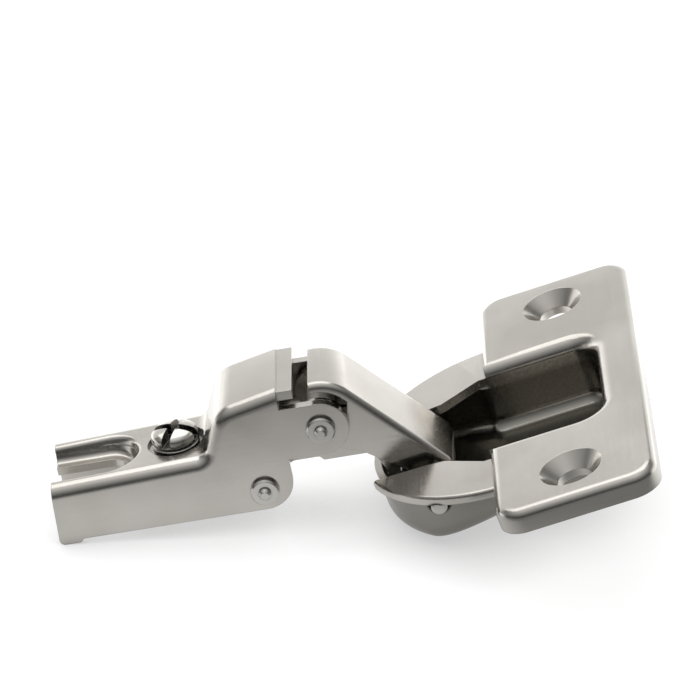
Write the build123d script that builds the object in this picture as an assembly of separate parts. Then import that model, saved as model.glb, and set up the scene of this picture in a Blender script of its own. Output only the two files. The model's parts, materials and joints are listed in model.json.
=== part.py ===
"""Concealed cabinet hinge: folded arm, two links and a pressed cup with a wing plate.

Frame: the arm's own. X runs along the arm towards the cup, Z points away from the
cabinet panel, and Y lies along the pivots. The origin is on the arm's base plane,
under the middle of the fixing slot's round end. The cup is drawn at its open stop.
"""
from build123d import *
import math
import os

# Arm: a folded channel, open below, with its nose raised by a crank
SHEET = 1.3
ARM_WIDTH = 13.8
ARM_BEND = 1.7
REAR_X = -7.25
REAR_TOP_Z = 7.9
REAR_LEAN = 0.4
RISE_START = (13.4, 8.7)
RISE_END = (16.0, 15.0)
RISE_FOOT_RADIUS = 1.8
RISE_HEAD_RADIUS = 4.2
NOSE_X = 24.3
NOSE_TOP_Z = 16.85
TONGUE_LENGTH = 2.1
TONGUE_WIDTH = 11.9
FRONT_CORNER_RADIUS = 4.0
FOOT_LENGTH = 2.4
FOOT_DROP = 0.5
EAR_RADIUS = 3.7

# Fixing slot, in a dished recess open at the rear
SLOT_WIDTH = 4.6
RECESS_END_X = 4.8
RECESS_WIDTH = 10.0
RECESS_FLOOR_Z = 6.0
RECESS_SHEET = 1.1
RECESS_TAPER = 20.0
RECESS_ROUND = 0.9
RECESS_LIP = 0.7

# Adjusting screw: a domed head on a seat, held by a collar under the web
SCREW_X = 9.45
SCREW_RADIUS = 3.15
SCREW_HOLE_GAP = 0.7
SCREW_SEAT_Z = 7.95
SCREW_TOP_Z = 10.1
SCREW_DOME = 0.7
SCREW_NECK_RADIUS = 2.5
SCREW_FIT = 0.08
COLLAR_RADIUS = 3.2
COLLAR_TOP_Z = 7.0
COLLAR_HEIGHT = 1.1
SHANK_RADIUS = 2.6
SHANK_END_Z = 2.4
THREAD_PITCH = 0.8
THREAD_DEPTH = 0.3
CROSS_WIDTH = 1.2
CROSS_DEPTH = 1.7
CROSS_TURN = 70.0

# Pivots in the arm's frame, as (X, Z)
UPPER_PIVOT = (29.2, 10.5)
LOWER_PIVOT = (20.4, 2.8)
RIVET_RADIUS = 1.3
RIVET_HEAD_RADIUS = 1.9
RIVET_HEAD_HEIGHT = 0.75
RIVET_NUB_RADIUS = 0.85
RIVET_NUB_HEIGHT = 0.7

# Clearances
SEAT_FIT = 0.03
RUN_FIT = 0.06
SIDE_GAP = 0.15

# Cup, in its own frame: v towards the wing plate, n out of the mouth
CUP_CENTRE = (51.35, 6.4)
CUP_TILT = 9.5
CUP_RADIUS = 17.5
CUP_DEPTH = 10.6
CUP_WALL = 1.0
CUP_EDGE_RADIUS = 3.0
RIM_RADIUS = 18.8
RIM_ROUND = 0.5
RIM_TOP = -1.8
RIM_SHEET = 1.2
RIM_END_V = -0.95
DOOR_PLANE = -3.1
MOUTH_HALF = 6.8
MOUTH_POINTS = [(-10.0, 7.3), (-7.5, 7.7), (-2.2, 11.0)]
SIDE_START_V = -12.5
SIDE_POINTS = [(-9.0, 13.4), (-5.5, 12.9), (-2.2, 11.9)]
SIDE_END_V = 0.6
WIDE_HALF = 11.5
WIDE_END_V = 15.4
WIDE_CORNER = 4.6
FLARE = 1.9

# Wing plate
WING_START_V = -1.0
WING_END_V = 20.3
WING_HALF = 29.8
WING_SHEET = 1.2
WING_BEND = 1.3
WING_CORNER = 3.6
SCREW_SPACING = 45.0
SCREW_OFFSET = 9.5
SCREW_HOLE_RADIUS = 2.3
SINK_RADIUS = 4.15
DIMPLE_DEPTH = 2.95

# Pins of the cup, as (v, n)
OUTER_PIN = (-9.25, -4.3)
OUTER_PIN_RADIUS = 1.1
OUTER_PIN_END = 14.9
PIN_COUNTERBORE = 0.3
PIN_COUNTERBORE_Y = 12.9
INNER_PIN = (-13.3, -3.8)
INNER_PIN_RADIUS = 0.9
INNER_PIN_SEAT = 0.5

# Outer link: a folded channel over the upper rivet and the outer pin
LINK_SHEET = 1.2
LINK_HEAD_RADIUS = 5.85
LINK_EYE_RADIUS = 2.5
LINK_BEND = 0.9
LINK_START_ANGLE = 97.0
LINK_FLANGE_ANGLE = 37.0
LINK_CURL_ANGLE = -30.0
LUG_RADIUS = 3.3
FLANGE_DEPTH = 1.35

# Inner link: an arched lever inside the outer link
LEVER_GAP = 0.35
LEVER_SHEET = 1.0
LEVER_EYE_RADIUS = 2.5
LEVER_PLAY = 0.72
LEVER_SHIFT = (-0.30, -0.64)
LEVER_HOOK_WALL = 0.62
LEVER_ARCH_Z = 7.8
LEVER_WAIST = 2.9

# Spring on the lower rivet
WIRE_RADIUS = 0.4
COIL_PITCH = 1.0
COIL_TURNS = 4.5
BUSH_WALL = 0.4

ARM_HALF = ARM_WIDTH / 2
ARM_INSIDE = ARM_HALF - SHEET
LINK_HALF = ARM_INSIDE - SIDE_GAP
LINK_INSIDE = LINK_HALF - LINK_SHEET
LEVER_HALF = LINK_INSIDE - LEVER_GAP
BIG = 60.0


def side_face(points, radii):
    """Closed face in the XZ plane from (x, z) corners, each rounded by its radius."""
    path = [Vector(x, 0, z) for x, z in points]
    edges = FilletPolyline(*path, radius=radii, close=True)
    return make_face(edges)


def across(face, low, high):
    """Solid of a face of the XZ plane between two places along Y."""
    solid = extrude(face, amount=high - low, dir=(0, 1, 0))
    return Pos(0, low, 0) * solid


def disc(centre, radius, low, high):
    """Round bar along Y at (x, z), between two places along Y."""
    middle = (low + high) / 2
    bar = Cylinder(radius, high - low, rotation=(90, 0, 0))
    return Pos(centre[0], middle, centre[1]) * bar


def box(x0, x1, y0, y1, z0, z1):
    """Box between two corners."""
    solid = Box(x1 - x0, y1 - y0, z1 - z0)
    return Pos((x0 + x1) / 2, (y0 + y1) / 2, (z0 + z1) / 2) * solid


def polar(centre, radius, degrees):
    """Point (x, z) at an angle about a centre."""
    angle = math.radians(degrees)
    return (centre[0] + radius * math.cos(angle), centre[1] + radius * math.sin(angle))


def to_arm(point):
    """A cup point (v, n) as (x, z) of the arm's frame at the open stop."""
    angle = math.radians(CUP_TILT)
    v, n = point
    x = CUP_CENTRE[0] + v * math.cos(angle) - n * math.sin(angle)
    z = CUP_CENTRE[1] + v * math.sin(angle) + n * math.cos(angle)
    return (x, z)


def cup_place():
    """Placement of the cup's own frame in the arm's frame."""
    return Pos(CUP_CENTRE[0], 0, CUP_CENTRE[1]) * Rot(0, -CUP_TILT, 0)


def arm_top(inset):
    """Corners of the arm's top line, from rear to nose, moved inwards by inset."""
    slope = math.atan2(RISE_END[1] - RISE_START[1], RISE_END[0] - RISE_START[0])
    side = inset * math.tan(slope / 2)
    return [
        (REAR_X - BIG * (inset > 0), REAR_TOP_Z - inset),
        (RISE_START[0] + side, RISE_START[1] - inset),
        (RISE_END[0] + side, RISE_END[1] - inset),
        (NOSE_X + BIG * (inset > 0), NOSE_TOP_Z - inset),
    ]


def arm_block():
    """Outside of the arm as one block, without its ears."""
    foot_x = REAR_X + FOOT_LENGTH
    top = arm_top(0)
    points = [(REAR_X - REAR_LEAN, -FOOT_DROP), (foot_x, -FOOT_DROP), (foot_x + FOOT_DROP, 0), (NOSE_X, 0)]
    radii = [FOOT_LENGTH / 3, FOOT_DROP / 2, FOOT_DROP / 2, FRONT_CORNER_RADIUS]
    points += reversed(top)
    radii += [0, RISE_HEAD_RADIUS, RISE_FOOT_RADIUS, 0]
    block = across(side_face(points, radii), -ARM_HALF, ARM_HALF)
    bend = [edge for edge in block.edges() if is_top_bend(edge)]
    return fillet(bend, ARM_BEND)


def is_top_bend(edge):
    """True for the long edges where the arm's web turns down into its sides."""
    box_ = edge.bounding_box()
    flat = box_.size.Y < 0.01 and abs(abs(box_.center().Y) - ARM_HALF) < 0.01
    return flat and box_.min.Z > REAR_TOP_Z - 0.6 and box_.size.X > 0.4


def hinge_arm():
    """Folded arm with ears, tongue, recess, fixing slot, screw hole and rivet holes."""
    arm = arm_block()
    top = arm_top(SHEET)
    points = [(top[0][0], -BIG), (top[3][0], -BIG)] + list(reversed(top))
    radii = [1, 1, 1, RISE_HEAD_RADIUS - SHEET, RISE_FOOT_RADIUS + SHEET, 1]
    arm -= across(side_face(points, radii), -ARM_INSIDE, ARM_INSIDE)
    ear_bottom = UPPER_PIVOT[1] - EAR_RADIUS
    ear_top = UPPER_PIVOT[1] + EAR_RADIUS
    for side in (-1, 1):
        low, high = sorted((side * ARM_INSIDE, side * ARM_HALF))
        arm += box(NOSE_X - 2, UPPER_PIVOT[0], low, high, ear_bottom, ear_top)
        arm += disc(UPPER_PIVOT, EAR_RADIUS, low, high)
    drop = (NOSE_TOP_Z - RISE_END[1]) * TONGUE_LENGTH / (NOSE_X - RISE_END[0])
    tongue_half = TONGUE_WIDTH / 2
    tongue_top = NOSE_TOP_Z - drop
    arm += box(NOSE_X - 1, NOSE_X + TONGUE_LENGTH, -tongue_half, tongue_half, tongue_top - SHEET, tongue_top)
    tray = recess(RECESS_SHEET, RECESS_FLOOR_Z - RECESS_SHEET)
    arm += tray & box(REAR_X, BIG, -ARM_INSIDE, ARM_INSIDE, 0, REAR_TOP_Z - SHEET / 2)
    arm -= recess(0, RECESS_FLOOR_Z)
    lip = [edge for edge in arm.edges() if is_recess_lip(edge)]
    arm = fillet(lip, RECESS_LIP)
    half = SLOT_WIDTH / 2
    arm -= Pos(0, 0, RECESS_FLOOR_Z) * Cylinder(half, 8)
    arm -= box(REAR_X - 5, 0, -half, half, RECESS_FLOOR_Z - 4, RECESS_FLOOR_Z + 4)
    seat = Cylinder(SCREW_RADIUS + SCREW_HOLE_GAP, 4)
    arm -= Pos(SCREW_X, 0, SCREW_SEAT_Z + 2) * seat
    arm -= Pos(SCREW_X, 0, SCREW_SEAT_Z) * Cylinder(SCREW_NECK_RADIUS + SCREW_FIT, 6)
    for pivot in (UPPER_PIVOT, LOWER_PIVOT):
        arm -= disc(pivot, RIVET_RADIUS + SEAT_FIT, -ARM_WIDTH, ARM_WIDTH)
    return arm


def recess(grow, floor_z):
    """Block of the dished recess, wider by grow, down to floor_z: its walls lean outwards."""
    top_z = arm_web_z(RECESS_END_X) + 1
    rise = (top_z - floor_z) * math.tan(math.radians(RECESS_TAPER))
    low = RECESS_WIDTH / 2 + grow - rise
    high = RECESS_WIDTH / 2 + grow
    end = RECESS_END_X - RECESS_WIDTH / 2
    cone = Pos(end, 0, (floor_z + top_z) / 2) * Cone(low, high, top_z - floor_z)
    section = make_face(Polyline(
        (0, -low, floor_z), (0, low, floor_z), (0, high, top_z), (0, -high, top_z), close=True
    ))
    run = Pos(REAR_X - 5, 0, 0) * extrude(section, amount=end - REAR_X + 5, dir=(1, 0, 0))
    block = cone + run
    floor = [edge for edge in block.edges() if edge.bounding_box().max.Z < floor_z + 0.01]
    floor = [edge for edge in floor if edge.bounding_box().max.X > REAR_X]
    return fillet(floor, RECESS_ROUND)


def arm_web_z(x):
    """Height of the arm's web at x, behind the rise."""
    slope = (RISE_START[1] - REAR_TOP_Z) / (RISE_START[0] - REAR_X)
    return REAR_TOP_Z + slope * (x - REAR_X)


def is_recess_lip(edge):
    """True for the edges where the recess meets the top of the web."""
    box_ = edge.bounding_box()
    on_web = abs(box_.center().Z - arm_web_z(box_.center().X)) < 0.15 and box_.size.Z < 0.6
    inside = abs(box_.center().Y) < RECESS_WIDTH / 2 + 0.3 and box_.max.X < RECESS_END_X + 0.5
    return on_web and inside and box_.size.X > 0.5


def rivet(pivot):
    """Turned rivet with a flat head and a small domed nub at each end."""
    face = ARM_HALF + SEAT_FIT
    step = face + RIVET_HEAD_HEIGHT
    end = step + RIVET_NUB_HEIGHT
    bevel = RIVET_HEAD_HEIGHT * 0.3
    profile = Polyline(
        (0, 0), (RIVET_RADIUS, 0), (RIVET_RADIUS, face), (RIVET_HEAD_RADIUS, face),
        (RIVET_HEAD_RADIUS, step - bevel), (RIVET_HEAD_RADIUS - bevel, step), (RIVET_NUB_RADIUS, step),
        (RIVET_NUB_RADIUS, step + 0.3), (RIVET_NUB_RADIUS * 0.6, end), (0, end), close=True,
    )
    half = revolve(make_face(profile), Axis.Y)
    body = half + Rot(180, 0, 0) * half
    return Pos(pivot[0], 0, pivot[1]) * body


def adjusting_screw():
    """Screw with a domed cross-slotted head, a neck in the web, a collar and a threaded shank."""
    head = SCREW_SEAT_Z + SEAT_FIT
    top = SCREW_TOP_Z
    collar = COLLAR_TOP_Z - COLLAR_HEIGHT
    radius = SCREW_RADIUS
    profile = Polyline(
        (0, SHANK_END_Z), (SHANK_RADIUS - 0.3, SHANK_END_Z), (SHANK_RADIUS, SHANK_END_Z + 0.3),
        (SHANK_RADIUS, collar), (COLLAR_RADIUS, collar), (COLLAR_RADIUS, COLLAR_TOP_Z),
        (SCREW_NECK_RADIUS, COLLAR_TOP_Z), (SCREW_NECK_RADIUS, head), (radius, head),
        (radius, top - 0.35), (radius * 0.97, top - 0.12), (radius * 0.88, top + SCREW_DOME * 0.25),
        (radius * 0.7, top + SCREW_DOME * 0.6), (radius * 0.4, top + SCREW_DOME * 0.9),
        (0, top + SCREW_DOME), close=True,
    )
    body = revolve(Plane.XZ * make_face(profile), Axis.Z)
    height = SHANK_END_Z + THREAD_PITCH
    while height < collar - THREAD_PITCH / 2:
        body -= thread_groove(SHANK_RADIUS, height)
        height += THREAD_PITCH
    body -= thread_groove(radius, head + 0.7)
    for turn in (0, 90):
        slot = Box(2 * radius + 1, CROSS_WIDTH, CROSS_DEPTH * 2)
        body -= Pos(0, 0, top + SCREW_DOME) * Rot(0, 0, turn + CROSS_TURN) * slot
    return Pos(SCREW_X, 0, 0) * body


def thread_groove(radius, height):
    """V-shaped groove round the screw."""
    half = THREAD_PITCH * 0.4
    corners = [(radius + 0.1, height + half), (radius - THREAD_DEPTH, height), (radius + 0.1, height - half)]
    return revolve(Plane.XZ * make_face(Polyline(*corners, close=True)), Axis.Z)


def tangent(c0, r0, c1, r1):
    """Touching points of the upper outside tangent of two circles."""
    dx, dz = c1[0] - c0[0], c1[1] - c0[1]
    length = math.hypot(dx, dz)
    along = math.degrees(math.atan2(dz, dx))
    lean = math.degrees(math.acos((r0 - r1) / length))
    return polar(c0, r0, along + lean), polar(c1, r1, along + lean), along + lean


def web_band():
    """Side view of the outer link's web: an arc, its tangent and the curl round the pin."""
    a, c = UPPER_PIVOT, to_arm(OUTER_PIN)
    out0, out1, angle = tangent(a, LINK_HEAD_RADIUS, c, LINK_EYE_RADIUS)
    r0, r1 = LINK_HEAD_RADIUS - LINK_SHEET, LINK_EYE_RADIUS - LINK_SHEET
    in0, in1 = polar(a, r0, angle), polar(c, r1, angle)
    outside = [
        arc(a, LINK_HEAD_RADIUS, LINK_START_ANGLE, angle),
        Line(point(out0), point(out1)),
        arc(c, LINK_EYE_RADIUS, angle, LINK_CURL_ANGLE),
    ]
    inside = [
        arc(c, r1, LINK_CURL_ANGLE, angle),
        Line(point(in1), point(in0)),
        arc(a, r0, angle, LINK_START_ANGLE),
    ]
    end = Line(outside[-1] @ 1, inside[0] @ 0)
    start = Line(inside[-1] @ 1, outside[0] @ 0)
    return make_face(outside + [end] + inside + [start])


def point(pair):
    """(x, z) as a point of the XZ plane."""
    return Vector(pair[0], 0, pair[1])


def arc(centre, radius, start, end):
    """Arc in the XZ plane through its middle point."""
    middle = polar(centre, radius, (start + end) / 2)
    ends = polar(centre, radius, start), polar(centre, radius, end)
    return ThreePointArc(point(ends[0]), point(middle), point(ends[1]))


def link_point(along, up):
    """Point (x, z) at a distance along the outer link's axis and above it."""
    a, c = UPPER_PIVOT, to_arm(OUTER_PIN)
    length = math.dist(a, c)
    ux, uz = (c[0] - a[0]) / length, (c[1] - a[1]) / length
    return (a[0] + along * ux - up * uz, a[1] + along * uz + up * ux)


def flange_face():
    """Side view of one flange: the lug on the rivet, the waist and the eye on the pin."""
    a, c = UPPER_PIVOT, to_arm(OUTER_PIN)
    out0, out1, angle = tangent(a, LINK_HEAD_RADIUS, c, LINK_EYE_RADIUS)
    length = math.dist(a, c)
    top = [
        arc(a, LINK_HEAD_RADIUS, LINK_FLANGE_ANGLE, angle) if LINK_FLANGE_ANGLE > angle + 1 else None,
        Line(point(out0), point(out1)),
    ]
    edges = [edge for edge in top if edge]
    first = edges[0] @ 0
    low = [link_point(length, -1.0), link_point(length - 3, -FLANGE_DEPTH),
           link_point(EAR_RADIUS + 2.8, -FLANGE_DEPTH), link_point(1.6, -LUG_RADIUS + 0.35),
           link_point(0.5, 0.5), link_point(3.0, 1.3)]
    line = Polyline(point(out1), point(c), *[point(p) for p in low], first)
    face = make_face(edges + [line])
    solid = across(face, 0, LINK_SHEET)
    solid += disc(a, LUG_RADIUS, 0, LINK_SHEET)
    solid += disc(c, LINK_EYE_RADIUS, 0, LINK_SHEET)
    return solid


def outer_link():
    """Folded outer link: web, two flanges with lugs, holes for the rivet and the pins."""
    a, c = UPPER_PIVOT, to_arm(OUTER_PIN)
    link = across(web_band(), -LINK_HALF, LINK_HALF)
    flange = flange_face()
    link += Pos(0, LINK_INSIDE, 0) * flange
    link += Pos(0, -LINK_HALF, 0) * flange
    link -= disc(a, RIVET_RADIUS + RUN_FIT, -ARM_WIDTH, ARM_WIDTH)
    link -= disc(c, OUTER_PIN_RADIUS + RUN_FIT, -ARM_WIDTH, ARM_WIDTH)
    out0, out1, angle = tangent(a, LINK_HEAD_RADIUS, c, LINK_EYE_RADIUS)
    middle = Vector((out0[0] + out1[0]) / 2, 0, (out0[1] + out1[1]) / 2)
    bend = []
    for edge in link.edges():
        centre = edge.center()
        near = math.dist((centre.X, centre.Z), (middle.X, middle.Z)) < 2.5
        if near and abs(abs(centre.Y) - LINK_HALF) < 0.01 and edge.length > 5:
            bend.append(edge)
    return fillet(bend, LINK_BEND)


def lever_hole():
    """Centre of the lever's roomy hole round the inner pin."""
    x, z = to_arm(INNER_PIN)
    return (x + LEVER_SHIFT[0], z + LEVER_SHIFT[1])


def lever_outline():
    """Side view of the arched lever between its two eyes."""
    a, c = LOWER_PIVOT, lever_hole()
    top = LEVER_ARCH_Z
    low = top - LEVER_WAIST
    tab = low - 0.6
    points = [
        (a[0] - 1.3, a[1] + 1.6), (NOSE_X - 2.0, top), (UPPER_PIVOT[0] + 4.6, top - 0.5),
        (c[0] + 1.6, c[1] + 1.5), (c[0] - 1.8, c[1] + 0.8), (c[0] - 3.5, tab),
        (UPPER_PIVOT[0] - 0.6, tab), (UPPER_PIVOT[0] - 1.2, low), (NOSE_X, low), (a[0] + 2.1, a[1] - 0.2),
    ]
    return side_face(points, [0.4, 2.4, 2.4, 0.5, 0.5, 1.2, 0.2, 0.2, 1.2, 0.5])


def inner_link():
    """Arched lever: two cheeks joined by a web along their tops."""
    a, c = LOWER_PIVOT, lever_hole()
    hole = INNER_PIN_RADIUS + LEVER_PLAY + RUN_FIT
    outline = lever_outline()
    body = across(outline, -LEVER_HALF, LEVER_HALF)
    inside = LEVER_HALF - LEVER_SHEET
    cut = across(outline, -inside, inside)
    body -= Pos(-LEVER_SHEET * 0.3, 0, -LEVER_SHEET) * cut
    body -= box(a[0] - 6, NOSE_X - 2.2, -inside, inside, -BIG, BIG)
    body -= box(UPPER_PIVOT[0] + 5.4, BIG, -inside, inside, -BIG, BIG)
    for side in (-1, 1):
        low, high = sorted((side * inside, side * LEVER_HALF))
        body += disc(a, LEVER_EYE_RADIUS, low, high)
        body += disc(c, hole + LEVER_HOOK_WALL, low, high)
    body -= disc(a, RIVET_RADIUS + RUN_FIT, -ARM_WIDTH, ARM_WIDTH)
    body -= disc(c, hole, -ARM_WIDTH, ARM_WIDTH)
    return body


def tube(pivot, inner, outer, low, high):
    """Plain sleeve on a pivot."""
    return disc(pivot, outer, low, high) - disc(pivot, inner, low - 1, high + 1)


def closing_spring():
    """Torsion spring round the bush on the lower rivet, with two short legs."""
    radius = RIVET_RADIUS + SEAT_FIT + BUSH_WALL + 0.1 + WIRE_RADIUS
    length = COIL_PITCH * COIL_TURNS
    path = Helix(pitch=COIL_PITCH, height=length, radius=radius, center=(0, 0, -length / 2))
    start = Plane(origin=path @ 0, z_dir=path % 0)
    coil = sweep(start * Circle(WIRE_RADIUS), path=path, is_frenet=True)
    legs = []
    for place, along in ((path @ 0, -(path % 0)), (path @ 1, path % 1)):
        plane = Plane(origin=place, z_dir=along)
        legs.append(extrude(plane * Circle(WIRE_RADIUS), amount=2.4))
    spring = coil + legs[0] + legs[1]
    turned = Rot(90, 0, 0) * Rot(0, 0, 100) * spring
    return Pos(LOWER_PIVOT[0], 0, LOWER_PIVOT[1]) * turned


def body_outline(inset):
    """Plan of the cup's wall: round at the left, drawn in at the sides, then the plate's pocket."""
    radius = CUP_RADIUS - inset
    start_y = math.sqrt(radius ** 2 - SIDE_START_V ** 2)
    half = WIDE_HALF - inset
    end_v = WIDE_END_V - inset
    waist = [(v, y - inset) for v, y in SIDE_POINTS] + [(SIDE_END_V, half)]
    upper = [(SIDE_START_V, start_y)] + waist
    lower = [(v, -y) for v, y in upper]
    lean = (start_y / radius, -SIDE_START_V / radius)
    edges = [
        ThreePointArc(lower[0], (-radius, 0), upper[0]),
        Spline(*upper, tangents=[lean, (1, 0)]),
        FilletPolyline(upper[-1], (end_v, half), (end_v, -half), lower[-1], radius=WIDE_CORNER - inset),
        Spline(*lower, tangents=[(lean[0], -lean[1]), (1, 0)]),
    ]
    return make_face(edges)


def slab(face, low, high):
    """Solid of a plan between two heights."""
    return extrude(Pos(0, 0, low) * face, amount=high - low)


def right_of(v):
    """Big rectangle that keeps what lies to the right of v."""
    return Pos(v + BIG / 2, 0) * Rectangle(BIG, BIG)


def wing_plate():
    """Pressed wing plate: a flat with rolled edges, open below."""
    length = WING_END_V - WING_START_V
    place = Pos(WING_START_V + length / 2, 0)
    plate = slab(place * RectangleRounded(length, 2 * WING_HALF, WING_CORNER), DOOR_PLANE, 0)
    plate = fillet(plate.faces().sort_by(Axis.Z)[-1].edges(), WING_BEND)
    inner = place * RectangleRounded(
        length - 2 * WING_SHEET, 2 * (WING_HALF - WING_SHEET), WING_CORNER - WING_SHEET
    )
    return plate - slab(inner, DOOR_PLANE, -WING_SHEET)


def rim_shelf():
    """Round shelf of the cup, beside the plate, just clear of the door, with a softened outer edge."""
    rim = slab(Circle(RIM_RADIUS), RIM_TOP - RIM_SHEET, RIM_TOP)
    rim = fillet(rim.edges().sort_by(Axis.Z)[-1], RIM_ROUND)
    return rim & Pos(RIM_END_V - BIG / 2, 0, 0) * Box(BIG, BIG, BIG)


def mouth_plan():
    """Plan of the mouth in the shelf: a slot for the links that widens to the pocket."""
    half = [(-BIG / 2, MOUTH_HALF)] + MOUTH_POINTS + [(WING_START_V, MOUTH_POINTS[-1][1])]
    mirrored = [(v, -y) for v, y in reversed(half)]
    return make_face(Polyline(*half, *mirrored, close=True))


def hinge_cup():
    """Drawn cup in its own frame: body, shelf, wing plate, pocket and screw holes."""
    depth = CUP_DEPTH - CUP_WALL
    body = slab(body_outline(0), -CUP_DEPTH, RIM_TOP)
    body = fillet(body.faces().sort_by(Axis.Z)[0].edges(), CUP_EDGE_RADIUS)
    neck = slab(body_outline(0) & right_of(WING_START_V), RIM_TOP - 1, 0)
    inside = body_outline(CUP_WALL)
    hollow = slab(inside, -depth, DOOR_PLANE)
    hollow = fillet(hollow.faces().sort_by(Axis.Z)[0].edges(), CUP_EDGE_RADIUS - CUP_WALL)
    cup = body + rim_shelf() + wing_plate() + neck
    cup -= hollow
    cup -= slab(mouth_plan(), DOOR_PLANE - 0.01, 5)
    cup -= pocket_cutter()
    for side in (-1, 1):
        place = Pos(SCREW_OFFSET, side * SCREW_SPACING / 2, 0)
        sink = SINK_RADIUS - SCREW_HOLE_RADIUS
        cup += place * Pos(0, 0, -DIMPLE_DEPTH / 2) * Cone(
            SCREW_HOLE_RADIUS + 0.7, SINK_RADIUS + 1.0, DIMPLE_DEPTH
        )
        cup -= place * Cylinder(SCREW_HOLE_RADIUS, 10)
        cup -= place * Pos(0, 0, -sink / 2) * Cone(SCREW_HOLE_RADIUS, SINK_RADIUS, sink)
    return cup


def pocket_cutter():
    """Space over the pocket, flared at the top so that the plate rolls down into the walls."""
    half = WIDE_HALF - CUP_WALL
    end_v = WIDE_END_V - CUP_WALL
    start_v = -BIG
    plan = Pos((start_v + end_v) / 2, 0) * RectangleRounded(
        end_v - start_v, 2 * half, WIDE_CORNER - CUP_WALL
    )
    sheet = slab(Pos(0, 0) * Rectangle(4 * BIG, 2 * BIG), DOOR_PLANE - 0.01, 0)
    holed = sheet - slab(plan, DOOR_PLANE - 0.01, 0)
    edges = [edge for edge in holed.edges() if edge.bounding_box().min.Z > -0.01]
    edges = [edge for edge in edges if abs(edge.bounding_box().center().Y) < half + 0.1]
    edges = [edge for edge in edges if edge.bounding_box().max.X < end_v + 0.1]
    holed = fillet([edge for edge in edges if edge.bounding_box().size.Y < 2 * BIG - 1], FLARE)
    space = (sheet - holed) & Pos(WING_START_V + BIG, 0, 0) * Box(2 * BIG, 2 * BIG, BIG)
    return space + slab(plan & right_of(WING_START_V), -0.01, 5)


def finished_cup():
    """The cup with its pin seats, in the arm's frame."""
    cup = cup_place() * hinge_cup()
    outer, inner = to_arm(OUTER_PIN), to_arm(INNER_PIN)
    cup -= disc(outer, OUTER_PIN_RADIUS + SEAT_FIT, -RIM_RADIUS, RIM_RADIUS)
    for side in (-1, 1):
        low, high = sorted((side * PIN_COUNTERBORE_Y, side * RIM_RADIUS))
        cup -= disc(outer, OUTER_PIN_RADIUS + PIN_COUNTERBORE, low, high)
    reach = inner_pin_half() + SEAT_FIT
    cup -= disc(inner, INNER_PIN_RADIUS + SEAT_FIT, -reach, reach)
    return cup


def inner_pin_half():
    """Half length of the inner pin, which ends in blind seats in the cup's wall."""
    return math.sqrt((CUP_RADIUS - CUP_WALL) ** 2 - INNER_PIN[0] ** 2) + INNER_PIN_SEAT


def all_parts():
    """Every piece by its node name."""
    pin = to_arm(OUTER_PIN)
    gap = LEVER_HALF + RUN_FIT
    wall = ARM_INSIDE - SEAT_FIT
    bush = RIVET_RADIUS + SEAT_FIT
    parts = {
        "hinge_arm": hinge_arm(),
        "adjusting_screw": adjusting_screw(),
        "upper_rivet": rivet(UPPER_PIVOT),
        "lower_rivet": rivet(LOWER_PIVOT),
        "outer_link": outer_link(),
        "inner_link": inner_link(),
        "hinge_cup": finished_cup(),
        "outer_cup_pin_left": disc(pin, OUTER_PIN_RADIUS, LEVER_HALF + 0.25, OUTER_PIN_END),
        "outer_cup_pin_right": disc(pin, OUTER_PIN_RADIUS, -OUTER_PIN_END, -LEVER_HALF - 0.25),
        "inner_cup_pin": disc(to_arm(INNER_PIN), INNER_PIN_RADIUS, -inner_pin_half(), inner_pin_half()),
        "closing_spring": closing_spring(),
        "spring_bush": tube(LOWER_PIVOT, bush, bush + BUSH_WALL, -gap + 1.1, gap - 1.1),
        "spacer_left": tube(LOWER_PIVOT, bush, bush + 1.0, gap, wall),
        "spacer_right": tube(LOWER_PIVOT, bush, bush + 1.0, -wall, -gap),
        "upper_bush": tube(UPPER_PIVOT, bush, bush + 0.5, -LINK_INSIDE + RUN_FIT, LINK_INSIDE - RUN_FIT),
    }
    return parts


def main():
    """Write one STEP file for each piece."""
    os.makedirs("parts", exist_ok=True)
    for name, shape in all_parts().items():
        export_step(shape, f"parts/{name}.step")
    pin, inner = to_arm(OUTER_PIN), to_arm(INNER_PIN)
    print("outer pin", pin, "inner pin", inner)


main()
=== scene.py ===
"""Looks of the concealed cabinet hinge: satin nickel sheet, turned rivets and pins, and a white table.

Lengths are in millimetres up to the point where MM turns them into metres.
"""
import json
import math

import bmesh
import bpy
from mathutils import Matrix, Vector


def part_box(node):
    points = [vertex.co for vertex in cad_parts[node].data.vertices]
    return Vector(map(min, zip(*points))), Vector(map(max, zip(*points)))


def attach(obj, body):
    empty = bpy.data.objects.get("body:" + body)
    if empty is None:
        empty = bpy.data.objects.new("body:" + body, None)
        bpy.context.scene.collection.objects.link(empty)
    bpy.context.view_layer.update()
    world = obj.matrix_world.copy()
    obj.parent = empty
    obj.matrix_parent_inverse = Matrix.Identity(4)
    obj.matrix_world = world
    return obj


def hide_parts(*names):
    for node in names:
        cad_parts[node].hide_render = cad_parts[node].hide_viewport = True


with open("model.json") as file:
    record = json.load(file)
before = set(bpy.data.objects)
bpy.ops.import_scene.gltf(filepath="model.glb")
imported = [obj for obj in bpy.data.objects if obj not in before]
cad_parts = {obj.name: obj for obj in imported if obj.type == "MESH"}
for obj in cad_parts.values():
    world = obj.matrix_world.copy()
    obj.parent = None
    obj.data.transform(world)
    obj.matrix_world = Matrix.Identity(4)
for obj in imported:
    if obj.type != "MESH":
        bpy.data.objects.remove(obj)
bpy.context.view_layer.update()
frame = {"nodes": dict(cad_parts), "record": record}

MM = 0.001
MICRON = 1e-6
# Points nearer to each other than this, in metres, are one
SAME_PLACE = 1e-6

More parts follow.
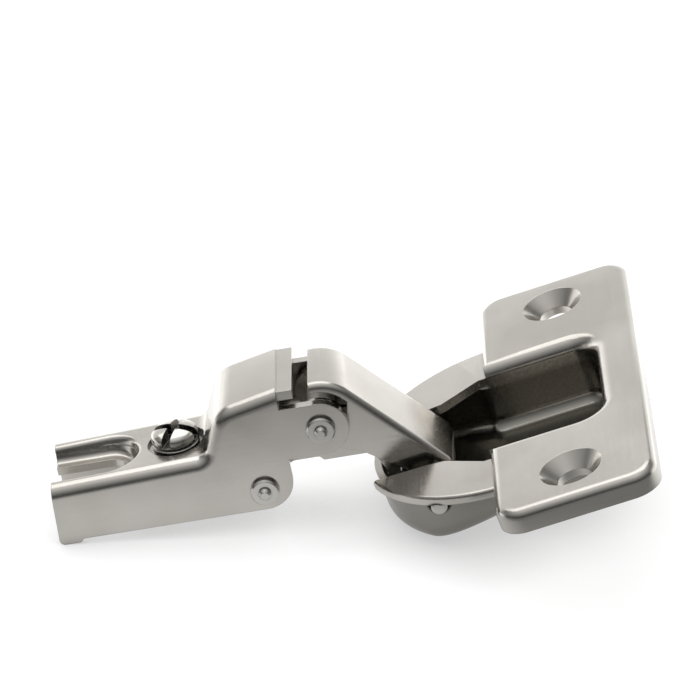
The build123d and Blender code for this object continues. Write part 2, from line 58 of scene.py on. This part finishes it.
# Camera, read from the photograph's perspective: its place, its axes and its lens
CAMERA_AT = (74.4, -476.7, 265.7)
CAMERA_RIGHT = (0.9842, -0.0093, -0.1765)
CAMERA_UP = (0.1604, 0.4662, 0.8701)
CAMERA_BACK = (0.0742, -0.8847, 0.4603)
CAMERA_FOCAL_PX = 4132.2
CAMERA_REACH_M = 10
PHOTO_PX = 700
SENSOR_MM = 36.0

# Table: it touches the arm's rear foot and the bottom of the cup, so it leans as the open hinge lies
TABLE_REAR = (-7.0, -0.5)
TABLE_FRONT = (41.0, -7.05)
TABLE_CENTRE = 30.0
TABLE_RADIUS = 900.0
TABLE_SIDES = 96
TABLE_TONE = "#9A9A9A"
# What the table adds to its own light: as the camera sees it, and as the metal mirrors it, which rises
# from one place in front of the hinge to another behind it
TABLE_SEEN_GLOW = 0.9
TABLE_FRONT_GLOW = 0.04
TABLE_BACK_GLOW = 1.5
TABLE_FRONT_Y = -60.0
TABLE_BACK_Y = 80.0
# Contact shadow: how far it reaches, how much glow it leaves, and the open shares where it ends
CONTACT_MM = 14.0
CONTACT_GLOW = 0.6
CONTACT_OPEN = (0.25, 0.9)
CONTACT_SAMPLES = 8

# Lamps, with their powers in watts: a wide soft one overhead, and a card that only the metal mirrors
OVERHEAD_AT = (10.0, 190.0, 390.0)
OVERHEAD_AIM = (30.0, 0.0, 0.0)
OVERHEAD_SIZE = (460.0, 330.0)
OVERHEAD_WATTS = 0.54
CARD_AT = (-15.0, 100.0, 75.0)
CARD_AIM = (-15.0, 0.0, 75.0)
CARD_SIZE = (270.0, 100.0)
CARD_WATTS = 0.045

# Room in grey tones against the sine of the elevation: behind the hinge, before it, and for soft light.
# It turns from before to behind between two values of the direction's Y
ROOM_STRENGTH = 1.25
ROOM_TURN = (-0.15, 0.25)
ROOM_BEHIND = ((0.0, "#F8F8F8"), (0.12, "#F8F8F8"), (0.28, "#ACACAC"), (0.42, "#808080"),
               (0.62, "#707070"), (0.8, "#A8A8A8"), (1.0, "#C0C0C0"))
ROOM_BEFORE = ((0.0, "#606060"), (0.12, "#383838"), (0.3, "#505050"), (0.45, "#6C6C6C"),
               (0.82, "#A8A8A8"), (1.0, "#DCDCDC"))
ROOM_DOME = ((0.0, "#000000"), (0.5, "#606060"), (1.0, "#D0D0D0"))
WHITE = "#FFFFFF"

# Plated surfaces: real rolling lines and plating grain are finer than a tenth of a millimetre, and these
# are drawn as coarse as they need to be to show. The patches are faint clouds in the plating
LINE_MM = 0.35
LINE_DETAIL = 2.0
GRAIN_MM = 0.45
GRAIN_DETAIL = 3.0
PATCH_MM = 14.0
PATCH_DETAIL = 2.0
PATCH_ENDS = (0.3, 0.7)
# Stretch of the lines: along the arm, across it, or none where the piece is turned
LINES_LONG = (0.04, 1.0, 1.0)
LINES_WIDE = (1.0, 0.04, 1.0)
LINES_ROUND = (1.0, 1.0, 1.0)
# Height of lines and grain together, and how much glossier or duller than its finish it makes a spot
SURFACE_ENDS = (0.7, 1.3)
GLOSS_SPREAD = 0.05
BUMP_STRENGTH = 0.35
EDGE_SAMPLES = 4
# Painted shade in inner corners, where shade falls: its reach and tone, and the open share at which it is
# darkest
CORNER_MM = 3.5
CORNER_SHADE_TONE = "#22211F"
CORNER_DARKEST = 0.1
CORNER_SAMPLES = 6

# Cup: its axis, and the height along it below which the sheet is drawn into the bowl and gets painted shade,
# a darker tone for the shaded table it mirrors
CUP_AXIS = (-0.16505, 0.0, 0.98629)
CUP_SHADE_BELOW = -5.0
CUP_SHADE_FADE = 0.8
CUP_SHADE_TONE = "#9A9790"
# Painted shade ring round the outer pin's ends, where the shade of its hole falls: its axis, seen from the
# side, and where it begins to fade and ends
PIN_AXIS = (42.94, 0.0, 0.63)
SIDE_VIEW = (1.0, 0.0, 1.0)
PIN_SHADE_RING_MM = (1.5, 1.85)

# Acetal: faint cloudiness of the moulding, which sets its gloss and its skin
CLOUD_MM = 1.5
CLOUD_DETAIL = 3.0
ACETAL_GLOSS = (0.34, 0.46)
ACETAL_EDGE_MM = 0.1
ACETAL_BUMP_UM = 4.0
ACETAL_BUMP_STRENGTH = 0.3
ACETAL_IOR = 1.48

# Folds sharper than this stay sharp, and the pins whose ends show in the cup's wall are rounded there
SHARP_DEGREES = 24
TURNED_PINS = ("outer_cup_pin_left", "outer_cup_pin_right")
PIN_ROUND = 0.4
PIN_SIDES = 64
PIN_ROUND_STEPS = 6


def linear(hex_colour):
    """Linear colour, with alpha, of an sRGB hex value."""
    channels = [int(hex_colour[i:i + 2], 16) / 255 for i in (1, 3, 5)]
    return [c / 12.92 if c <= 0.04045 else ((c + 0.055) / 1.055) ** 2.4 for c in channels] + [1.0]


def add_node(tree, kind, settings=None, inputs=None, links=None):
    """New node with its settings, socket values and links into its inputs."""
    node = tree.nodes.new(kind)
    for name, value in (settings or {}).items():
        setattr(node, name, value)
    for name, value in (inputs or {}).items():
        node.inputs[name].default_value = value
    for name, (source, output) in (links or {}).items():
        tree.links.new(source.outputs[output], node.inputs[name])
    return node


def bare_material(name):
    """New material and its node tree, with no node in it."""
    material = bpy.data.materials.new(name)
    material.use_nodes = True
    material.node_tree.nodes.clear()
    return material, material.node_tree


def plated_metal(name, colour, dark, roughness, lay, bump_um, edge_mm, shade_free_above=0.55, drawn=False):
    """Plated steel: rolling lines and a fine grain, faint patches, softened edges and painted shade in inner
    corners.
    """
    material, tree = bare_material(name)
    place = add_node(tree, "ShaderNodeTexCoord")
    surface = rolled_surface(tree, place, lay)
    tone = plating_tone(tree, place, colour, dark)
    edges = add_node(tree, "ShaderNodeBevel", {"samples": EDGE_SAMPLES}, {"Radius": edge_mm * MM})
    # Painted shade: the colour turns to the dark corner tone where little open air is round a spot
    corners = add_node(tree, "ShaderNodeAmbientOcclusion", {"samples": CORNER_SAMPLES},
                       {"Distance": CORNER_MM * MM}, {"Normal": (edges, "Normal")})
    open_air = add_node(tree, "ShaderNodeMapRange", inputs={"From Min": CORNER_DARKEST, "From Max": shade_free_above},
                        links={"Value": (corners, "AO")})
    unshaded = (open_air, "Result")
    # On the cup: painted shade on the bowl, and a painted shade ring round the outer pin's ends
    if drawn:
        tone = cup_bowl_shade(tree, place, tone)
        unshaded = with_painted_ring_shade(tree, place, unshaded)
    # Painted shade mixed into the plating's colour
    corner_shaded = add_node(tree, "ShaderNodeMixRGB", inputs={"Color1": linear(CORNER_SHADE_TONE)},
                    links={"Fac": unshaded, "Color2": tone})
    gloss = add_node(tree, "ShaderNodeMapRange",
                     inputs={"From Min": SURFACE_ENDS[0], "From Max": SURFACE_ENDS[1],
                             "To Min": roughness - GLOSS_SPREAD, "To Max": roughness + GLOSS_SPREAD},
                     links={"Value": surface})
    bump = add_node(tree, "ShaderNodeBump", inputs={"Strength": BUMP_STRENGTH, "Distance": bump_um * MICRON},
                    links={"Height": surface, "Normal": (edges, "Normal")})
    shader = add_node(tree, "ShaderNodeBsdfPrincipled", inputs={"Metallic": 1.0},
                      links={"Base Color": (corner_shaded, "Color"), "Roughness": (gloss, "Result"),
                             "Normal": (bump, "Normal")})
    add_node(tree, "ShaderNodeOutputMaterial", links={"Surface": (shader, "BSDF")})
    return material


def rolled_surface(tree, place, lay):
    """Height of the rolling lines and the plating's grain together."""
    along = add_node(tree, "ShaderNodeMapping", inputs={"Scale": lay}, links={"Vector": (place, "Object")})
    lines = add_node(tree, "ShaderNodeTexNoise",
                     inputs={"Scale": 1 / (LINE_MM * MM), "Detail": LINE_DETAIL},
                     links={"Vector": (along, "Vector")})
    grain = add_node(tree, "ShaderNodeTexNoise",
                     inputs={"Scale": 1 / (GRAIN_MM * MM), "Detail": GRAIN_DETAIL},
                     links={"Vector": (place, "Object")})
    surface = add_node(tree, "ShaderNodeMath", {"operation": "ADD"},
                       links={0: (lines, "Fac"), 1: (grain, "Fac")})
    return surface, "Value"


def plating_tone(tree, place, colour, dark):
    """Colour of the plating, clouded between its two tones."""
    patches = add_node(tree, "ShaderNodeTexNoise",
                       inputs={"Scale": 1 / (PATCH_MM * MM), "Detail": PATCH_DETAIL},
                       links={"Vector": (place, "Object")})
    tone = add_node(tree, "ShaderNodeValToRGB", links={"Fac": (patches, "Fac")})
    for stop, position, shade in zip(tone.color_ramp.elements, PATCH_ENDS, (dark, colour)):
        stop.position, stop.color = position, linear(shade)
    return tone, "Color"


def cup_bowl_shade(tree, place, tone):
    """The same colour on the plate, and painted shade, a darker tone, where the sheet is drawn into the cup.
    """
    height = add_node(tree, "ShaderNodeVectorMath", {"operation": "DOT_PRODUCT"}, {1: CUP_AXIS},
                      {0: (place, "Object")})
    plate = add_node(tree, "ShaderNodeMapRange",
                     inputs={"From Min": (CUP_SHADE_BELOW - CUP_SHADE_FADE) * MM, "From Max": CUP_SHADE_BELOW * MM},
                     links={"Value": (height, "Value")})
    both = add_node(tree, "ShaderNodeMixRGB", inputs={"Color1": linear(CUP_SHADE_TONE)},
                    links={"Fac": (plate, "Result"), "Color2": tone})
    return both, "Color"


def with_painted_ring_shade(tree, place, unshaded):
    """How free of painted shade the cup is: as it was, but for a painted shade ring round the pin's ends in
    its wall.
    """
    side = add_node(tree, "ShaderNodeMapping", inputs={"Scale": SIDE_VIEW},
                    links={"Vector": (place, "Object")})
    reach = add_node(tree, "ShaderNodeVectorMath", {"operation": "DISTANCE"},
                     {1: [value * MM for value in PIN_AXIS]}, {0: (side, "Vector")})
    ring = add_node(tree, "ShaderNodeMapRange",
                    inputs={"From Min": PIN_SHADE_RING_MM[0] * MM, "From Max": PIN_SHADE_RING_MM[1] * MM},
                    links={"Value": (reach, "Value")})
    # The ring's painted shade joins the painted shade of the corners
    least = add_node(tree, "ShaderNodeMath", {"operation": "MINIMUM"}, links={0: unshaded, 1: (ring, "Result")})
    return least, "Value"


def moulded_acetal(name, colour, shade):
    """Moulded acetal, a waxy white plastic: soft sheen and a very faint cloudiness."""
    material, tree = bare_material(name)
    place = add_node(tree, "ShaderNodeTexCoord")
    cloud = add_node(tree, "ShaderNodeTexNoise",
                     inputs={"Scale": 1 / (CLOUD_MM * MM), "Detail": CLOUD_DETAIL},
                     links={"Vector": (place, "Object")})
    tone = add_node(tree, "ShaderNodeValToRGB", links={"Fac": (cloud, "Fac")})
    tone.color_ramp.elements[0].color = linear(shade)
    tone.color_ramp.elements[1].color = linear(colour)
    gloss = add_node(tree, "ShaderNodeMapRange",
                     inputs={"To Min": ACETAL_GLOSS[0], "To Max": ACETAL_GLOSS[1]},
                     links={"Value": (cloud, "Fac")})
    edges = add_node(tree, "ShaderNodeBevel", {"samples": EDGE_SAMPLES}, {"Radius": ACETAL_EDGE_MM * MM})
    bump = add_node(tree, "ShaderNodeBump",
                    inputs={"Strength": ACETAL_BUMP_STRENGTH, "Distance": ACETAL_BUMP_UM * MICRON},
                    links={"Height": (cloud, "Fac"), "Normal": (edges, "Normal")})
    shader = add_node(tree, "ShaderNodeBsdfPrincipled", inputs={"Metallic": 0.0, "IOR": ACETAL_IOR},
                      links={"Base Color": (tone, "Color"), "Roughness": (gloss, "Result"),
                             "Normal": (bump, "Normal")})
    add_node(tree, "ShaderNodeOutputMaterial", links={"Surface": (shader, "BSDF")})
    return material


def finishes():
    """Every finish by its slot in the record, and the cup's own by its node."""
    return {
        # Cold-rolled steel strip, folded, then satin nickel plated: a soft warm-grey sheen that spreads
        # highlights, with the strip's rolling lines lengthwise under the plating
        "nickel_sheet": plated_metal("satin_nickel_sheet", colour="#D8D4CE", dark="#C6C2BB",
                                     roughness=0.21, lay=LINES_LONG, bump_um=5.0, edge_mm=0.18),
        # Turned and headed steel, nickel plated: a little brighter than the sheet, with no direction, and
        # painted shade, a dark ring, round each head
        "nickel_rivet": plated_metal("turned_nickel", colour="#DAD7D2", dark="#CCC9C3",
                                     roughness=0.2, lay=LINES_ROUND, bump_um=1.2, edge_mm=0.12, shade_free_above=0.8),
        # Cold-headed steel screw, bright nickel plated: the sharpest mirror of the hinge, and painted shade,
        # black, in the depth of its cross
        "nickel_screw": plated_metal("bright_nickel_screw", colour="#DAD7D1", dark="#CCC8C1",
                                     roughness=0.17, lay=LINES_ROUND, bump_um=1.2, edge_mm=0.15, shade_free_above=0.95),
        # Hard-drawn spring wire, bare under a film of oil: darker and duller than all the plated pieces
        "spring_wire": plated_metal("oiled_spring_wire", colour="#6E6B67", dark="#55524F",
                                    roughness=0.3, lay=LINES_ROUND, bump_um=2.0, edge_mm=0.05),
        # Acetal, injection moulded without pigment: waxy off-white with a soft sheen
        "acetal": moulded_acetal("natural_acetal", colour="#DEDBD1", shade="#D2CEC2"),
        # Deep-drawn steel cup, satin nickel plated: the plate's rolling lines run crosswise, and the bowl,
        # where the punch stretched the sheet, has painted shade that makes it darker than the plate
        "hinge_cup": plated_metal("drawn_nickel_cup", colour="#D8D4CE", dark="#C6C2BB",
                                  roughness=0.21, lay=LINES_WIDE, bump_um=5.0, edge_mm=0.18, drawn=True),
    }


def dress_nodes(looks):
    """Give each CAD node a smooth copy of itself in its finish, and the cup's outer pins a turned shape."""
    record = frame["record"]
    slots = {part["node"]: part["material_slot"] for part in record["subparts"]}
    bodies = {node: body for body, nodes in record["behaviour"]["bodies"].items() for node in nodes}
    for name, node in frame["nodes"].items():
        if name in TURNED_PINS:
            turned_pin(name, looks, bodies[name], slots[name])
            continue
        mesh = bmesh.new()
        mesh.from_mesh(node.data)
        bmesh.ops.remove_doubles(mesh, verts=mesh.verts, dist=SAME_PLACE)
        look = looks.get(name) or looks[slots[name]]
        add_piece(mesh, name + "_skin", look, bodies[name], name)


def turned_pin(name, looks, body, slot):
    """Headless pin of the cup in place of its plain bar: turned, with a rounded outer end."""
    low, high = (Vector(corner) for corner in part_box(name))
    radius = (high.z - low.z) / 2
    outer = high.y if high.y > -low.y else low.y
    mesh = bmesh.new()
    bmesh.ops.create_cone(mesh, cap_ends=True, segments=PIN_SIDES, radius1=radius, radius2=radius,
                          depth=high.y - low.y)
    place = Matrix.Translation((low + high) / 2) @ Matrix.Rotation(math.pi / 2, 4, "X")
    bmesh.ops.transform(mesh, matrix=place, verts=mesh.verts)
    rim = [edge for edge in mesh.edges if all(abs(vert.co.y - outer) < SAME_PLACE for vert in edge.verts)]
    bmesh.ops.bevel(mesh, geom=rim, offset=PIN_ROUND * MM, offset_type="OFFSET", segments=PIN_ROUND_STEPS,
                    profile=0.5, affect="EDGES", material=-1)
    add_piece(mesh, name + "_turned", looks[slot], body, name)


def add_piece(mesh, name, look, body, node):
    """Finished piece from a bmesh: smooth faces, sharp folds, riding on its body in place of its node."""
    for face in mesh.faces:
        face.smooth = True
    for edge in mesh.edges:
        if len(edge.link_faces) == 2 and edge.calc_face_angle() > math.radians(SHARP_DEGREES):
            edge.smooth = False
    piece = placed(mesh, name, look)
    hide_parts(node)
    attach(piece, body)


def placed(mesh, name, look):
    """Object in the scene from a bmesh, in one material."""
    data = bpy.data.meshes.new(name)
    mesh.to_mesh(data)
    mesh.free()
    data.materials.append(look)
    thing = bpy.data.objects.new(name, data)
    bpy.context.scene.collection.objects.link(thing)
    return thing


def table():
    """White table, which leans as the open hinge lies on it."""
    rear, front = (Vector((x, 0, z)) for x, z in (TABLE_REAR, TABLE_FRONT))
    along, across = (front - rear).normalized(), Vector((0, 1, 0))
    turn = Matrix((along, across, along.cross(across))).transposed().to_4x4()
    mesh = bmesh.new()
    bmesh.ops.create_circle(mesh, cap_ends=True, segments=TABLE_SIDES, radius=TABLE_RADIUS * MM)
    bmesh.ops.transform(mesh, matrix=Matrix.Translation((rear + along * TABLE_CENTRE) * MM) @ turn,
                        verts=mesh.verts)
    placed(mesh, "table", white_table())


def white_table():
    """Matt white board. The camera sees it melt into white, but for the hinge's shadow and contact."""
    material, tree = bare_material("white_table")
    place = add_node(tree, "ShaderNodeTexCoord")
    split = add_node(tree, "ShaderNodeSeparateXYZ", links={"Vector": (place, "Object")})
    mirrored = add_node(tree, "ShaderNodeMapRange",
                        inputs={"From Min": TABLE_FRONT_Y * MM, "From Max": TABLE_BACK_Y * MM,
                                "To Min": TABLE_FRONT_GLOW, "To Max": TABLE_BACK_GLOW},
                        links={"Value": (split, "Y")})
    path = add_node(tree, "ShaderNodeLightPath")
    glow = add_node(tree, "ShaderNodeMix", {"data_type": "FLOAT"}, {"B": TABLE_SEEN_GLOW},
                    {"Factor": (path, "Is Camera Ray"), "A": (mirrored, "Result")})
    near = add_node(tree, "ShaderNodeAmbientOcclusion", {"samples": CONTACT_SAMPLES},
                    {"Distance": CONTACT_MM * MM})
    contact = add_node(tree, "ShaderNodeMapRange",
                       inputs={"From Min": CONTACT_OPEN[0], "From Max": CONTACT_OPEN[1],
                               "To Min": CONTACT_GLOW},
                       links={"Value": (near, "AO")})
    shaded = add_node(tree, "ShaderNodeMath", {"operation": "MULTIPLY"},
                      links={0: (glow, "Result"), 1: (contact, "Result")})
    matt = add_node(tree, "ShaderNodeBsdfDiffuse", inputs={"Color": linear(TABLE_TONE)})
    white = add_node(tree, "ShaderNodeEmission", links={"Strength": (shaded, "Value")})
    both = add_node(tree, "ShaderNodeAddShader", links={0: (matt, "BSDF"), 1: (white, "Emission")})
    add_node(tree, "ShaderNodeOutputMaterial", links={"Surface": (both, "Shader")})
    return material


def lamp(name, place, aim, size, power):
    """Soft oblong lamp, placed and aimed."""
    data = bpy.data.lights.new(name, "AREA")
    data.shape = "RECTANGLE"
    data.size, data.size_y = size[0] * MM, size[1] * MM
    data.energy = power
    light = bpy.data.objects.new(name, data)
    bpy.context.scene.collection.objects.link(light)
    at = Vector(place) * MM
    light.location = at
    light.rotation_euler = (Vector(aim) * MM - at).to_track_quat("-Z", "Y").to_euler()
    return light


def elevation_ramp(tree, split, stops):
    """Grey of the room against the sine of the elevation, from straight ahead to overhead."""
    ramp = add_node(tree, "ShaderNodeValToRGB", links={"Fac": (split, "Z")})
    for element, (position, colour) in zip(ramp.color_ramp.elements, (stops[0], stops[-1])):
        element.position, element.color = position, linear(colour)
    for position, colour in stops[1:-1]:
        ramp.color_ramp.elements.new(position).color = linear(colour)
    return ramp, "Color"


def studio():
    """Soft lamp overhead, a card behind for the metal alone, and the room round the table."""
    lamp("overhead_lamp", OVERHEAD_AT, OVERHEAD_AIM, OVERHEAD_SIZE, OVERHEAD_WATTS)
    card = lamp("back_card", CARD_AT, CARD_AIM, CARD_SIZE, CARD_WATTS)
    card.visible_camera = False
    card.visible_diffuse = False
    bpy.context.scene.world = room()


def room():
    """World: what the metal mirrors, softer light from overhead on matt things, and white for the camera."""
    world = bpy.data.worlds.new("studio")
    world.use_nodes = True
    tree = world.node_tree
    tree.nodes.clear()
    way = add_node(tree, "ShaderNodeTexCoord")
    split = add_node(tree, "ShaderNodeSeparateXYZ", links={"Vector": (way, "Generated")})
    depth = add_node(tree, "ShaderNodeMapRange", {"interpolation_type": "SMOOTHSTEP"},
                     {"From Min": ROOM_TURN[0], "From Max": ROOM_TURN[1]}, {"Value": (split, "Y")})
    mirrored = add_node(tree, "ShaderNodeMixRGB",
                        links={"Fac": (depth, "Result"), "Color1": elevation_ramp(tree, split, ROOM_BEFORE),
                               "Color2": elevation_ramp(tree, split, ROOM_BEHIND)})
    path = add_node(tree, "ShaderNodeLightPath")
    lit = add_node(tree, "ShaderNodeMixRGB",
                   links={"Fac": (path, "Is Glossy Ray"), "Color1": elevation_ramp(tree, split, ROOM_DOME),
                          "Color2": (mirrored, "Color")})
    seen = add_node(tree, "ShaderNodeMixRGB", inputs={"Color2": linear(WHITE)},
                    links={"Fac": (path, "Is Camera Ray"), "Color1": (lit, "Color")})
    strength = add_node(tree, "ShaderNodeMapRange", inputs={"To Min": ROOM_STRENGTH, "To Max": 1.0},
                        links={"Value": (path, "Is Camera Ray")})
    back = add_node(tree, "ShaderNodeBackground",
                    links={"Color": (seen, "Color"), "Strength": (strength, "Result")})
    add_node(tree, "ShaderNodeOutputWorld", links={"Surface": (back, "Background")})
    return world


def set_camera():
    """Camera at the photograph's place, with the photograph's lens."""
    data = bpy.data.cameras.new("camera")
    data.sensor_width = SENSOR_MM
    data.lens = CAMERA_FOCAL_PX * SENSOR_MM / PHOTO_PX
    data.clip_end = CAMERA_REACH_M
    camera = bpy.data.objects.new("camera", data)
    bpy.context.scene.collection.objects.link(camera)
    turn = Matrix((CAMERA_RIGHT, CAMERA_UP, CAMERA_BACK)).transposed().to_4x4()
    camera.matrix_world = Matrix.Translation(Vector(CAMERA_AT) * MM) @ turn
    bpy.context.scene.camera = camera


dress_nodes(finishes())
table()
studio()
set_camera()
bpy.context.scene.view_settings.view_transform = "Standard"
